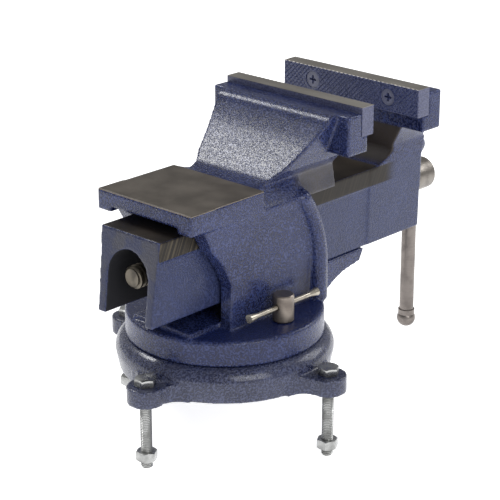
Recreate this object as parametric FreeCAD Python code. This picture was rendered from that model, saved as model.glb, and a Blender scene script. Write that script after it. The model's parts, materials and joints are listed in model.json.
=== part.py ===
"""Bench vise with a swivel base and an anvil.

Frame: +Z up, +Y towards the anvil, X along the jaws. The origin is the swivel
axis on the bench face, so the four mounting bolts hang below z = 0.
All sizes are in millimetres.
"""
import FreeCAD, Part
import math
import os

V = FreeCAD.Vector

# ---- clearances -----------------------------------------------------------
GAP = 0.3                # between faces that slide or turn past each other
RUNNING_FIT = 0.05       # radial, a shaft that turns or slides in its bore
THREAD_FIT = 0.05        # radial, a bolt in the thread that holds it

# ---- swivel base ----------------------------------------------------------
BASE_RADIUS = 76.0
BASE_FOOT_RADIUS = 73.5  # the flange narrows towards the bench
FLANGE_HEIGHT = 12.5
BASE_HEIGHT = 24.0
DISC_RADIUS = 69.0
LUG_COUNT = 4
LUG_CIRCLE_RADIUS = 87.0
LUG_RADIUS = 12.5
LUG_TURN = 6.5           # degrees from +X to the first lug
LUG_BLEND = 12.0
FOOT_RECESS_RADIUS = 60.0
FOOT_RECESS_DEPTH = 3.0
HUB_RADIUS = 24.0        # pad left at bench height in the middle of the recess
SPIGOT_RADIUS = 14.0
SPIGOT_LENGTH = 12.0

# ---- mounting bolts (M8 x 60) ---------------------------------------------
MOUNT_BOLT_RADIUS = 4.0
MOUNT_PITCH_RADIUS = 3.6 # plain shank in the lug, and the thread inside the nut
MOUNT_BOLT_LENGTH = 60.0
MOUNT_HOLE_RADIUS = 4.5
MOUNT_HEAD_FLATS = 13.0
MOUNT_HEAD_HEIGHT = 5.3
MOUNT_NUT_HEIGHT = 6.5
MOUNT_TIP_BELOW_NUT = 5.5
MOUNT_TIP_CHAMFER = 0.8
HEXAGON_CHAMFER_ANGLE = 30.0

# ---- swivel lock ----------------------------------------------------------
LOCK_CIRCLE_RADIUS = 50.0
LOCK_SETBACK = 5.2       # the lock bolts stand this far in front of the swivel axis
LOCK_BOLT_RADIUS = 5.0
LOCK_HEAD_RADIUS = 7.3
LOCK_HEAD_HEIGHT = 19.0
LOCK_BAR_RADIUS = 1.8
LOCK_BAR_LENGTH = 68.0
LOCK_BAR_RISE = 11.0     # the bar's height above the disc
LOCK_BAR_FLARE_RADIUS = 3.0
LOCK_BAR_FLARE_LENGTH = 8.0
LOCK_HOLE_CLEARANCE = 0.6
T_SLOT_NECK = 12.0
T_SLOT_WIDTH = 21.0
T_SLOT_FLOOR = 7.5
T_SLOT_LEDGE = 16.0      # underside of the ledge that the lock nuts pull against
LOCK_NUT_SIZE = 16.0
LOCK_NUT_HEIGHT = 7.0
LOCK_NUT_DROP = 0.5      # below the ledge while the swivel is free

# ---- fixed body -----------------------------------------------------------
DISC_THICK = 17.9
DISC_ROUND = 2.5
PAD_HEIGHT = 3.2
PAD_HALF_WIDTH = 27.0
PAD_REAR = 61.0
PAD_FRONT = -45.0
SILL_REAR = -40.0        # behind this the slide runs clear over the pad
CHEEK_HALF_WIDTH_LOW = 37.0
CHEEK_HALF_WIDTH_HIGH = 41.8
CHEEK_REAR_LOW = 33.0
CHEEK_REAR_HIGH = 60.5
CHEEK_KNEE_HEIGHT = 30.0 # the cheeks and the collar stand upright up to here
CHEEK_SWEEP_HEIGHT = 60.0
COLLAR_FRONT = -59.5
COLLAR_TOP_FRONT = -38.0
BEAD_RADIUS = 7.0
BEAD_PROUD = 8.5         # how far the collar's bead stands out of the cheek's foot
BEAD_SETBACK = 6.5       # from the collar's front to the bead's centreline
ANVIL_REAR = 75.8
ANVIL_FRONT = 5.7
ANVIL_HALF_WIDTH = 43.3
ANVIL_TAPER = 0.9
ANVIL_THICK = 14.3
ANVIL_RELIEF = 3.5
ANVIL_RELIEF_HALF_WIDTH = 31.0
ANVIL_OVER_CHANNEL = 4.0
PAINT_STEP = 0.4         # the painted deck lies this much under the machined anvil
NOSE_LENGTH = 55.0       # the lip that carries the slide in front of the collar
NOSE_HALF_WIDTH = 26.0
NOSE_LIP = 9.0           # height of the nose's front edge
NOSE_DEPTH = 33.0        # from the sill down to where the nose meets the collar

# ---- jaws -----------------------------------------------------------------
JAW_WIDTH = 125.0
JAW_OPENING = 48.15      # as the vise stands
JAW_OPENING_MAX = 125.0
PLATE_THICK = 12.4
PLATE_HEIGHT = 20.4
PLATE_PROUD = 6.2        # how far a plate stands out of the casting below it
PLATE_ABOVE_HEAD = 4.1
HEAD_WALL = 13.8         # casting behind a plate
HEAD_BELOW_PLATE = 11.4
FIXED_JAW_FRONT = -75.2
JAW_THROAT = 13.0        # from the anvil's top to the underside of the jaw head
WEB_HALF_WIDTH_LOW = 35.0
WEB_HALF_WIDTH_FOOT = 32.0
WEB_HALF_WIDTH_WAIST = 39.0
WEB_HALF_WIDTH_MIDDLE = 44.0
WEB_HALF_WIDTH_TOP = 52.0
WEB_FOOT_Y = 1.5
WEB_ROLL_LENGTH = 9.0    # the rounded top edge behind the jaw head
WEB_ROLL_DROP = 5.2
JAW_SCREW_SPACING = 70.0
JAW_SCREW_RADIUS = 3.0
JAW_SCREW_HEAD_RADIUS = 6.0
JAW_SCREW_HEAD_HEIGHT = 3.3
JAW_SCREW_LENGTH = 20.0
JAW_SCREW_SUNK = 0.8     # below the plate's gripping face

# ---- moving jaw and its slide ---------------------------------------------
SLIDE_LIFT = 12.8        # slide's lower edge above the pad
SLIDE_HEIGHT = 58.2
SLIDE_HALF_WIDTH = 27.4
RAIL_DEPTH = 13.0        # machined band along the slide's upper edge
RAIL_PROUD = 0.8
SLIDE_FOOT_HALF_WIDTH = 25.5
SLIDE_HOLLOW_HALF_WIDTH = 18.4
SLIDE_HOLLOW_RISE = 47.0 # from the slide's lower edge to the top of its hollow
SLIDE_REAR = 87.4
SLIDE_REAR_LEAN = 7.3    # the rear end leans out towards its foot
NECK_LENGTH = 52.0       # moving plate's face to the front of the neck
NECK_REAR_SETBACK = 15.2 # from the moving plate's face to the neck's rear wall
NECK_TOE_REACH = 22.5    # the sweep from the neck down to the slide
NECK_TOE_RISE = 10.0
FRONT_WALL = 17.0
FRONT_BEAD_RADIUS = 5.5

# ---- lead screw, nut and handle -------------------------------------------
SCREW_RISE = 27.5        # screw axis above the slide's lower edge
SCREW_RADIUS = 8.0
SCREW_END = 87.0
SCREW_END_CHAMFER = 1.6
SCREW_HEAD_RADIUS = 12.2
SCREW_HEAD_LENGTH = 35.0
SCREW_HEAD_ROUND = 1.5
THRUST_WASHER_THICK = 3.0
THRUST_WASHER_RADIUS = 14.0
RETAINER_THICK = 2.0
RETAINER_RADIUS = 13.0
SPRING_LENGTH = 14.0
SPRING_WIRE_RADIUS = 1.2
SPRING_CLEARANCE = 1.2   # between the screw and the coil
SPRING_TURNS = 4
SPRING_END_PLAY = 0.05
SPLIT_PIN_RADIUS = 2.0
SPLIT_PIN_LENGTH = 24.0
NUT_LENGTH = 36.0
NUT_REAR = -3.0
NUT_RADIUS = 14.0
NUT_COLUMN_HALF_WIDTH = 12.0
NUT_BOLT_RADIUS = 5.0
NUT_BOLT_SETBACK = 10.0  # from the nut's front end
NUT_BOLT_HEAD_FLATS = 17.0
NUT_BOLT_HEAD_HEIGHT = 6.4
NUT_BOLT_GRIP = 18.0     # thread inside the nut's column
HANDLE_RADIUS = 5.5
HANDLE_SPAN = 135.6      # between the centres of the end knobs
HANDLE_KNOB_RISE = 1.7   # of the knob over the bar
HANDLE_COLLAR_WALL = 0.9
HANDLE_COLLAR_LENGTH = 3.0
HANDLE_HOLE_FROM_END = 15.5
KNOB_SEAT_SHARE = 0.6    # of the knob's radius, where its collar starts

# ---- derived heights ------------------------------------------------------
DISC_BOTTOM = BASE_HEIGHT + GAP
DISC_TOP = DISC_BOTTOM + DISC_THICK
PAD_TOP = DISC_TOP + PAD_HEIGHT
SLIDE_BOTTOM = PAD_TOP + SLIDE_LIFT
SLIDE_TOP = SLIDE_BOTTOM + SLIDE_HEIGHT
SILL_TOP = SLIDE_BOTTOM - GAP
CHANNEL_TOP = SLIDE_TOP + GAP
ANVIL_BOTTOM = CHANNEL_TOP + ANVIL_OVER_CHANNEL
ANVIL_TOP = ANVIL_BOTTOM + ANVIL_THICK
HEAD_BOTTOM = ANVIL_TOP + JAW_THROAT
PLATE_BOTTOM = HEAD_BOTTOM + HEAD_BELOW_PLATE
PLATE_TOP = PLATE_BOTTOM + PLATE_HEIGHT
HEAD_TOP = PLATE_TOP - PLATE_ABOVE_HEAD
SCREW_Z = SLIDE_BOTTOM + SCREW_RISE

# ---- derived places along the vise ----------------------------------------
FIXED_FACE = FIXED_JAW_FRONT - PLATE_PROUD
FIXED_PLATE_REAR = FIXED_FACE + PLATE_THICK
FIXED_HEAD_REAR = FIXED_PLATE_REAR + HEAD_WALL
MOVING_FACE = FIXED_FACE - JAW_OPENING
MOVING_JAW_REAR = MOVING_FACE - PLATE_PROUD
MOVING_PLATE_FRONT = MOVING_FACE - PLATE_THICK
MOVING_HEAD_FRONT = MOVING_PLATE_FRONT - HEAD_WALL
NECK_FRONT = MOVING_FACE - NECK_LENGTH
WALL_INNER = NECK_FRONT + FRONT_WALL
THRUST_FACE = NECK_FRONT - GAP
HEAD_INNER = THRUST_FACE - THRUST_WASHER_THICK - GAP
HEAD_OUTER = HEAD_INNER - SCREW_HEAD_LENGTH
HANDLE_Y = HEAD_OUTER + HANDLE_HOLE_FROM_END
LOCK_X = math.sqrt(LOCK_CIRCLE_RADIUS ** 2 - LOCK_SETBACK ** 2)
NUT_FRONT = NUT_REAR - NUT_LENGTH
NUT_BOLT_Y = NUT_FRONT + NUT_BOLT_SETBACK
NOSE_FRONT = COLLAR_FRONT - NOSE_LENGTH
REAR_WALL_OF_NECK = MOVING_FACE - NECK_REAR_SETBACK
INNER_WASHER_Y = WALL_INNER + GAP
SPRING_MEAN_RADIUS = SCREW_RADIUS + SPRING_WIRE_RADIUS + SPRING_CLEARANCE
SPRING_START = INNER_WASHER_Y + RETAINER_THICK
SPRING_END = SPRING_START + SPRING_LENGTH
PIN_Y = SPRING_END + RETAINER_THICK + SPLIT_PIN_RADIUS

# ---- derived places along the handle --------------------------------------
HANDLE_KNOB_RADIUS = HANDLE_RADIUS + HANDLE_KNOB_RISE
HANDLE_COLLAR_RADIUS = HANDLE_RADIUS + HANDLE_COLLAR_WALL
KNOB_REACH = HANDLE_KNOB_RADIUS * KNOB_SEAT_SHARE + HANDLE_COLLAR_LENGTH
UPPER_KNOB_Z = SCREW_Z + SCREW_HEAD_RADIUS + GAP + KNOB_REACH
LOWER_KNOB_Z = UPPER_KNOB_Z - HANDLE_SPAN


# ---- helpers --------------------------------------------------------------
def box(x0, x1, y0, y1, z0, z1):
    """A block between two corners."""
    return Part.makeBox(x1 - x0, y1 - y0, z1 - z0, V(x0, y0, z0))


def rod_x(radius, y, z, x0, x1):
    return Part.makeCylinder(radius, x1 - x0, V(x0, y, z), V(1, 0, 0))


def rod_y(radius, x, z, y0, y1):
    return Part.makeCylinder(radius, y1 - y0, V(x, y0, z), V(0, 1, 0))


def rod_z(radius, x, y, z0, z1):
    return Part.makeCylinder(radius, z1 - z0, V(x, y, z0), V(0, 0, 1))


def outline(steps):
    """A closed face. A step is a point, or (middle, end) of an arc."""
    edges = []
    start = last = steps[0]
    for step in steps[1:] + [start]:
        if isinstance(step, tuple):
            edges.append(Part.Arc(last, step[0], step[1]).toShape())
            last = step[1]
        else:
            edges.append(Part.makeLine(last, step))
            last = step
    return Part.Face(Part.Wire(edges))


def seen_from_side(steps, half_width):
    """A solid from a (y, z) outline, as wide as twice half_width in X."""
    points = [placed(step, lambda p: V(-half_width, p[0], p[1])) for step in steps]
    return outline(points).extrude(V(2 * half_width, 0, 0))


def seen_from_front(steps, y0, y1):
    """A solid from an (x, z) outline, between y0 and y1."""
    points = [placed(step, lambda p: V(p[0], y0, p[1])) for step in steps]
    return outline(points).extrude(V(0, y1 - y0, 0))


def placed(step, place):
    """Places a plain point, or both points of an arc step."""
    if isinstance(step[0], tuple):
        return (place(step[0]), place(step[1]))
    return place(step)


def mirrored_outline(right_side):
    """Closes a half outline, given from bottom to top for +X, with its mirror."""
    return right_side + [(-x, z) for x, z in reversed(right_side)]


def hexagon(flats, height, x, y, z, both_ends=False):
    """A hexagonal prism standing on z, its corners turned off at the top, or at both ends."""
    corner = flats / math.sqrt(3)
    drop = (corner - flats / 2) * math.tan(math.radians(HEXAGON_CHAMFER_ANGLE))
    points = [V(x + corner * math.cos(math.radians(60 * k)),
                y + corner * math.sin(math.radians(60 * k)), z) for k in range(6)]
    prism = outline(points).extrude(V(0, 0, height))
    turned = ring_of_revolution([(0, z), (corner, z), (corner, z + height - drop), (flats / 2, z + height),
                                 (0, z + height)])
    if both_ends:
        turned = ring_of_revolution([(0, z), (flats / 2, z), (corner, z + drop), (corner, z + height - drop),
                                     (flats / 2, z + height), (0, z + height)])
    turned.translate(V(x, y, 0))
    return prism.common(turned)


def ring_of_revolution(points):
    """A solid turned about the swivel axis from an (r, z) outline."""
    steps = [placed(step, lambda p: V(p[0], 0, p[1])) for step in points]
    return outline(steps).revolve(V(0, 0, 0), V(0, 0, 1), 360)


def joined(shapes):
    """One solid from several that touch or overlap."""
    shape = shapes[0]
    for other in shapes[1:]:
        shape = shape.fuse(other)
    return shape.removeSplitter()


def both_sides(make):
    """The piece for -X and the piece for +X."""
    return make(-1), make(1)


def lug_places():
    """Centres of the mounting lugs."""
    places = []
    for k in range(LUG_COUNT):
        angle = math.radians(LUG_TURN + 360.0 * k / LUG_COUNT)
        places.append((LUG_CIRCLE_RADIUS * math.cos(angle), LUG_CIRCLE_RADIUS * math.sin(angle)))
    return places


# ---- swivel base ----------------------------------------------------------
def base_flange():
    """The round flange with its lugs, blended in plan."""
    plate = rod_z(BASE_RADIUS, 0, 0, 0, FLANGE_HEIGHT)
    for k, (x, y) in enumerate(lug_places()):
        arm = box(0, LUG_CIRCLE_RADIUS, -LUG_RADIUS, LUG_RADIUS, 0, FLANGE_HEIGHT)
        arm.rotate(V(0, 0, 0), V(0, 0, 1), LUG_TURN + 360.0 * k / LUG_COUNT)
        plate = plate.fuse(arm).fuse(rod_z(LUG_RADIUS, x, y, 0, FLANGE_HEIGHT))
    plate = plate.removeSplitter()
    corners = [e for e in plate.Edges if is_upright(e) and edge_radius(e) < BASE_RADIUS + 0.5]
    return plate.makeFillet(LUG_BLEND, corners)


def is_upright(edge):
    if not isinstance(edge.Curve, Part.Line):
        return False
    a, b = edge.Vertexes[0].Point, edge.Vertexes[1].Point
    return abs(a.x - b.x) < 0.01 and abs(a.y - b.y) < 0.01


def edge_radius(edge):
    point = edge.Vertexes[0].Point
    return math.hypot(point.x, point.y)


def base_plate():
    """Flange and lugs, rolled shoulder, T-slot ring, spigot bore and bolt holes."""
    shoulder = ring_of_revolution([
        (0, 0), (BASE_FOOT_RADIUS, 0), (BASE_RADIUS, FLANGE_HEIGHT),
        ((DISC_RADIUS + 5.2, BASE_HEIGHT - 4.2), (DISC_RADIUS, BASE_HEIGHT)), (0, BASE_HEIGHT)])
    body = base_flange().common(drafted_flange()).fuse(shoulder)
    neck_in = LOCK_CIRCLE_RADIUS - T_SLOT_NECK / 2
    neck_out = LOCK_CIRCLE_RADIUS + T_SLOT_NECK / 2
    slot_in = LOCK_CIRCLE_RADIUS - T_SLOT_WIDTH / 2
    slot_out = LOCK_CIRCLE_RADIUS + T_SLOT_WIDTH / 2
    slot = ring_of_revolution([
        (slot_in, T_SLOT_FLOOR), (slot_out, T_SLOT_FLOOR), (slot_out, T_SLOT_LEDGE),
        (neck_out, T_SLOT_LEDGE), (neck_out, BASE_HEIGHT + 1), (neck_in, BASE_HEIGHT + 1),
        (neck_in, T_SLOT_LEDGE), (slot_in, T_SLOT_LEDGE)])
    body = body.cut(slot)
    spigot_floor = DISC_BOTTOM - SPIGOT_LENGTH - GAP
    body = body.cut(rod_z(SPIGOT_RADIUS + RUNNING_FIT, 0, 0, spigot_floor, BASE_HEIGHT + 1))
    body = body.cut(foot_recess())
    body = body.cut(nut_entry())
    for x, y in lug_places():
        body = body.cut(rod_z(MOUNT_HOLE_RADIUS, x, y, -1, FLANGE_HEIGHT + 20))
    return body.removeSplitter()


def drafted_flange():
    """Trims the flange's round wall to its draft, and leaves the lugs alone."""
    keep = ring_of_revolution([(0, 0), (BASE_FOOT_RADIUS, 0), (BASE_RADIUS, FLANGE_HEIGHT), (0, FLANGE_HEIGHT)])
    reach = LUG_RADIUS + LUG_BLEND
    for k in range(LUG_COUNT):
        lug = box(0, LUG_CIRCLE_RADIUS + LUG_RADIUS + 1, -reach, reach, 0, FLANGE_HEIGHT)
        lug.rotate(V(0, 0, 0), V(0, 0, 1), LUG_TURN + 360.0 * k / LUG_COUNT)
        keep = keep.fuse(lug)
    return keep


def foot_recess():
    """A shallow recess, so that the base bears on its rim and on the hub's pad."""
    return rod_z(FOOT_RECESS_RADIUS, 0, 0, -1, FOOT_RECESS_DEPTH).cut(
        rod_z(HUB_RADIUS, 0, 0, -1, FOOT_RECESS_DEPTH))


def nut_entry():
    """The pocket that lets a lock nut drop into the T-slot, on the anvil side."""
    half = LOCK_NUT_SIZE / 2 + 1
    return box(-half, half, LOCK_CIRCLE_RADIUS - half, LOCK_CIRCLE_RADIUS + half,
               T_SLOT_LEDGE - LOCK_NUT_DROP, BASE_HEIGHT + 1)


# ---- mounting hardware ----------------------------------------------------
def mounting_bolts():
    """Head and reduced shank in the lug, thread below the bench face, and a tip past the nut."""
    tip = FLANGE_HEIGHT - MOUNT_BOLT_LENGTH
    nut_low = tip + MOUNT_TIP_BELOW_NUT
    bolts = []
    for x, y in lug_places():
        end = chamfered_end(rod_z(MOUNT_BOLT_RADIUS, x, y, tip, nut_low), tip, MOUNT_TIP_CHAMFER)
        thread = rod_z(MOUNT_BOLT_RADIUS, x, y, nut_low + MOUNT_NUT_HEIGHT, 0)
        core = rod_z(MOUNT_PITCH_RADIUS, x, y, tip + MOUNT_TIP_CHAMFER, FLANGE_HEIGHT)
        head = hexagon(MOUNT_HEAD_FLATS, MOUNT_HEAD_HEIGHT, x, y, FLANGE_HEIGHT)
        bolts.append(joined([end, thread, core, head]))
    return Part.makeCompound(bolts)


def chamfered_end(solid, height, size):
    """Chamfers the round edge of an upright rod that lies at this height."""
    rims = [e for e in solid.Edges if isinstance(e.Curve, Part.Circle)
            and abs(e.Vertexes[0].Point.z - height) < 0.01]
    return solid.makeChamfer(size, rims)


def mounting_nuts():
    low = FLANGE_HEIGHT - MOUNT_BOLT_LENGTH + MOUNT_TIP_BELOW_NUT
    nuts = []
    for x, y in lug_places():
        nut = hexagon(MOUNT_HEAD_FLATS, MOUNT_NUT_HEIGHT, x, y, low, both_ends=True)
        nuts.append(nut.cut(rod_z(MOUNT_PITCH_RADIUS + THREAD_FIT, x, y, low - 1, low + MOUNT_NUT_HEIGHT + 1)))
    return Part.makeCompound(nuts)


# ---- fixed body -----------------------------------------------------------
def swivel_disc():
    disc = rod_z(DISC_RADIUS, 0, 0, DISC_BOTTOM, DISC_TOP)
    rim = [e for e in disc.Edges if isinstance(e.Curve, Part.Circle)
           and abs(e.Vertexes[0].Point.z - DISC_TOP) < 0.01]
    disc = disc.makeFillet(DISC_ROUND, rim)
    return disc.fuse(rod_z(SPIGOT_RADIUS, 0, 0, DISC_BOTTOM - SPIGOT_LENGTH, DISC_BOTTOM + 1))


def cheek_block():
    """The upright body between disc and anvil, before the channel is cut."""
    knee = DISC_TOP + CHEEK_KNEE_HEIGHT
    sweep = DISC_TOP + CHEEK_SWEEP_HEIGHT
    rear_sweep = CHEEK_REAR_LOW + (CHEEK_REAR_HIGH - CHEEK_REAR_LOW) * 0.7
    side = seen_from_side([
        (CHEEK_REAR_LOW, DISC_TOP - 1), (CHEEK_REAR_LOW, knee),
        ((CHEEK_REAR_LOW + 7, (knee + sweep) / 2), (rear_sweep, sweep)),
        (CHEEK_REAR_HIGH, ANVIL_BOTTOM - 3), (CHEEK_REAR_HIGH, ANVIL_BOTTOM + 1),
        (COLLAR_TOP_FRONT, ANVIL_BOTTOM + 1),
        ((COLLAR_FRONT + 6, sweep - 5), (COLLAR_FRONT, knee)),
        (COLLAR_FRONT, DISC_TOP - 1)], ANVIL_HALF_WIDTH + 5)
    front = seen_from_front(mirrored_outline([
        (CHEEK_HALF_WIDTH_LOW, DISC_TOP - 1), (CHEEK_HALF_WIDTH_HIGH, ANVIL_BOTTOM + 1)]),
        COLLAR_FRONT - 1, CHEEK_REAR_HIGH + 1)
    return side.common(front)


def anvil_slab():
    """The anvil and, in front of it, the painted deck that the jaw rises from."""
    half = [(ANVIL_HALF_WIDTH, ANVIL_REAR), (ANVIL_HALF_WIDTH - ANVIL_TAPER, ANVIL_FRONT),
            (WEB_HALF_WIDTH_FOOT + 1, ANVIL_FRONT - 4)]
    points = [V(x, y, ANVIL_BOTTOM) for x, y in half + [(-x, y) for x, y in reversed(half)]]
    slab = outline(points).extrude(V(0, 0, ANVIL_THICK))
    deck = box(-60, 60, ANVIL_FRONT - 5, ANVIL_FRONT, ANVIL_TOP - PAINT_STEP, ANVIL_TOP + 1)
    return slab.cut(deck)


def shoulder():
    """Slopes the cheeks in to the foot of the jaw."""
    half = [(CHEEK_HALF_WIDTH_HIGH, CHANNEL_TOP), (CHEEK_HALF_WIDTH_HIGH, ANVIL_BOTTOM),
            (WEB_HALF_WIDTH_FOOT, ANVIL_TOP - PAINT_STEP)]
    return seen_from_front(mirrored_outline(half), COLLAR_TOP_FRONT, ANVIL_FRONT)


def jaw_web():
    """The fixed jaw's swept web, from the deck up to the back of the jaw head."""
    side = seen_from_side([
        (FIXED_JAW_FRONT, CHANNEL_TOP), (FIXED_JAW_FRONT, PLATE_BOTTOM), (FIXED_PLATE_REAR, PLATE_BOTTOM),
        (FIXED_PLATE_REAR, HEAD_TOP), (FIXED_HEAD_REAR + 0.5, HEAD_TOP),
        ((FIXED_HEAD_REAR + 0.7 * WEB_ROLL_LENGTH, HEAD_TOP - 0.3 * WEB_ROLL_DROP),
         (FIXED_HEAD_REAR + 0.5 + WEB_ROLL_LENGTH, HEAD_TOP - WEB_ROLL_DROP)),
        ((WEB_FOOT_Y - 31, ANVIL_TOP + 18.9), (WEB_FOOT_Y - 13.5, ANVIL_TOP + 5.3)),
        ((WEB_FOOT_Y - 6.8, ANVIL_TOP + 1.1), (WEB_FOOT_Y, ANVIL_TOP - PAINT_STEP)),
        (WEB_FOOT_Y, CHANNEL_TOP)], WEB_HALF_WIDTH_TOP + 5)
    front = seen_from_front(mirrored_outline([
        (WEB_HALF_WIDTH_LOW, CHANNEL_TOP), (WEB_HALF_WIDTH_FOOT, ANVIL_TOP - 1),
        (WEB_HALF_WIDTH_WAIST, (ANVIL_TOP + HEAD_BOTTOM) / 2), (WEB_HALF_WIDTH_MIDDLE, HEAD_BOTTOM + 4), (WEB_HALF_WIDTH_TOP, HEAD_TOP - 4),
        (WEB_HALF_WIDTH_TOP, HEAD_TOP)]), FIXED_JAW_FRONT - 1, WEB_FOOT_Y + 1)
    return side.common(front)


def jaw_head(front, plate_back, back):
    """The bar behind and below a jaw plate; front is the casting's gripping side."""
    below = box(-JAW_WIDTH / 2, JAW_WIDTH / 2, min(front, back), max(front, back), HEAD_BOTTOM, PLATE_BOTTOM)
    behind = box(-JAW_WIDTH / 2, JAW_WIDTH / 2, min(plate_back, back), max(plate_back, back),
                 PLATE_BOTTOM, HEAD_TOP)
    return below.fuse(behind).removeSplitter()


def collar_bead(side):
    """The rounded bead down each side of the collar's mouth."""
    x = side * (CHEEK_HALF_WIDTH_LOW + BEAD_PROUD - BEAD_RADIUS)
    low = V(x, COLLAR_FRONT + BEAD_SETBACK, DISC_TOP - 1)
    knee = V(x, COLLAR_FRONT + BEAD_SETBACK, DISC_TOP + CHEEK_KNEE_HEIGHT)
    bend = V(x, COLLAR_FRONT + BEAD_SETBACK + 5.5, DISC_TOP + CHEEK_SWEEP_HEIGHT - 5)
    top = V(x, COLLAR_TOP_FRONT + 3, ANVIL_BOTTOM - 2)
    path = Part.Wire([Part.makeLine(low, knee), Part.Arc(knee, bend, top).toShape()])
    ring = Part.Wire(Part.makeCircle(BEAD_RADIUS, low, V(0, 0, 1)))
    return path.makePipeShell([ring], True, True).fuse(Part.makeSphere(BEAD_RADIUS, top))


def slide_sill():
    """The lip under the slide, reaching forward of the collar."""
    return seen_from_side([
        (SILL_REAR, DISC_TOP - 1), (SILL_REAR, SILL_TOP), (NOSE_FRONT - 4, SILL_TOP),
        (NOSE_FRONT, SILL_TOP - NOSE_LIP), (NOSE_FRONT + 17, SILL_TOP - NOSE_LIP - 3),
        ((NOSE_FRONT + 36, SILL_TOP - 0.64 * NOSE_DEPTH), (NOSE_FRONT + 50, SILL_TOP - NOSE_DEPTH)),
        (SILL_REAR, SILL_TOP - NOSE_DEPTH)], NOSE_HALF_WIDTH)


def channel():
    """The space that the slide runs in."""
    half = SLIDE_HALF_WIDTH + GAP
    whole = box(-half, half, COLLAR_FRONT - 10, CHEEK_REAR_HIGH + 20, SILL_TOP, CHANNEL_TOP)
    return whole.fuse(box(-half, half, SILL_REAR, CHEEK_REAR_HIGH + 20, PAD_TOP, CHANNEL_TOP))


def fixed_body():
    """One casting: disc, cheeks, collar, anvil and fixed jaw."""
    pad = box(-PAD_HALF_WIDTH, PAD_HALF_WIDTH, PAD_FRONT, PAD_REAR, DISC_TOP - 1, PAD_TOP)
    upright = joined([cheek_block(), anvil_slab(), shoulder(), jaw_web()])
    relief = box(-ANVIL_RELIEF_HALF_WIDTH, ANVIL_RELIEF_HALF_WIDTH, CHEEK_REAR_HIGH - 2, ANVIL_REAR + 1,
                 CHANNEL_TOP, ANVIL_BOTTOM + ANVIL_RELIEF)
    upright = joined([upright.cut(relief)] + list(both_sides(collar_bead)))
    upright = upright.cut(channel())
    head = jaw_head(FIXED_JAW_FRONT, FIXED_PLATE_REAR, FIXED_HEAD_REAR)
    body = joined([swivel_disc(), pad, slide_sill(), upright, head])
    for side in (-1, 1):
        body = body.cut(rod_z(LOCK_BOLT_RADIUS + GAP, side * LOCK_X, -LOCK_SETBACK, DISC_BOTTOM - 1, DISC_TOP + 1))
    body = body.cut(rod_z(NUT_BOLT_RADIUS + GAP, 0, NUT_BOLT_Y, DISC_BOTTOM - 1, PAD_TOP + 1))
    body = body.cut(rod_z(NUT_BOLT_HEAD_FLATS * 0.65, 0, NUT_BOLT_Y, DISC_BOTTOM - 1,
                          DISC_BOTTOM + NUT_BOLT_HEAD_HEIGHT + 1))
    return body.cut(screw_holes(FIXED_PLATE_REAR - 1, 1)).removeSplitter()


def screw_holes(start, direction):
    """Threaded holes for a jaw plate's screws, from start in the given Y direction."""
    depth = JAW_SCREW_LENGTH - PLATE_THICK + 3
    height = (PLATE_BOTTOM + PLATE_TOP) / 2
    holes = []
    for side in (-1, 1):
        x = side * JAW_SCREW_SPACING / 2
        holes.append(Part.makeCylinder(JAW_SCREW_RADIUS + THREAD_FIT, depth, V(x, start, height), V(0, direction, 0)))
    return Part.makeCompound(holes)


# ---- swivel lock ----------------------------------------------------------
def lock_bolt(side):
    """A round head with a cross hole, on a threaded shank down to the T-slot."""
    x, y = side * LOCK_X, -LOCK_SETBACK
    foot = T_SLOT_LEDGE - LOCK_NUT_DROP - LOCK_NUT_HEIGHT
    seat = DISC_TOP + GAP
    head = rod_z(LOCK_HEAD_RADIUS, x, y, seat, seat + LOCK_HEAD_HEIGHT)
    top = [e for e in head.Edges if isinstance(e.Curve, Part.Circle)]
    head = head.makeChamfer(0.7, top)
    bolt = head.fuse(rod_z(LOCK_BOLT_RADIUS, x, y, foot, seat + 1))
    hole = rod_y(LOCK_BAR_RADIUS + LOCK_HOLE_CLEARANCE, x, DISC_TOP + LOCK_BAR_RISE, y - 20, y + 20)
    return bolt.cut(hole).removeSplitter()


def lock_bar(side):
    """A thin bar through the lock bolt's head, flared at both ends to keep it in."""
    x, y, z = side * LOCK_X, -LOCK_SETBACK, DISC_TOP + LOCK_BAR_RISE
    half = LOCK_BAR_LENGTH / 2
    bar = rod_y(LOCK_BAR_RADIUS, x, z, y - half, y + half)
    for end in (-1, 1):
        root = V(x, y + end * (half - LOCK_BAR_FLARE_LENGTH), z)
        flare = Part.makeCone(LOCK_BAR_RADIUS, LOCK_BAR_FLARE_RADIUS, LOCK_BAR_FLARE_LENGTH, root, V(0, end, 0))
        bar = bar.fuse(flare)
    return bar.removeSplitter()


def lock_nut(side):
    """A square nut that rides in the T-slot."""
    x, y = side * LOCK_X, -LOCK_SETBACK
    top = T_SLOT_LEDGE - LOCK_NUT_DROP
    half = LOCK_NUT_SIZE / 2
    nut = box(x - half, x + half, y - half, y + half, top - LOCK_NUT_HEIGHT, top)
    return nut.cut(rod_z(LOCK_BOLT_RADIUS + THREAD_FIT, x, y, top - LOCK_NUT_HEIGHT - 1, top + 1))


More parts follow.
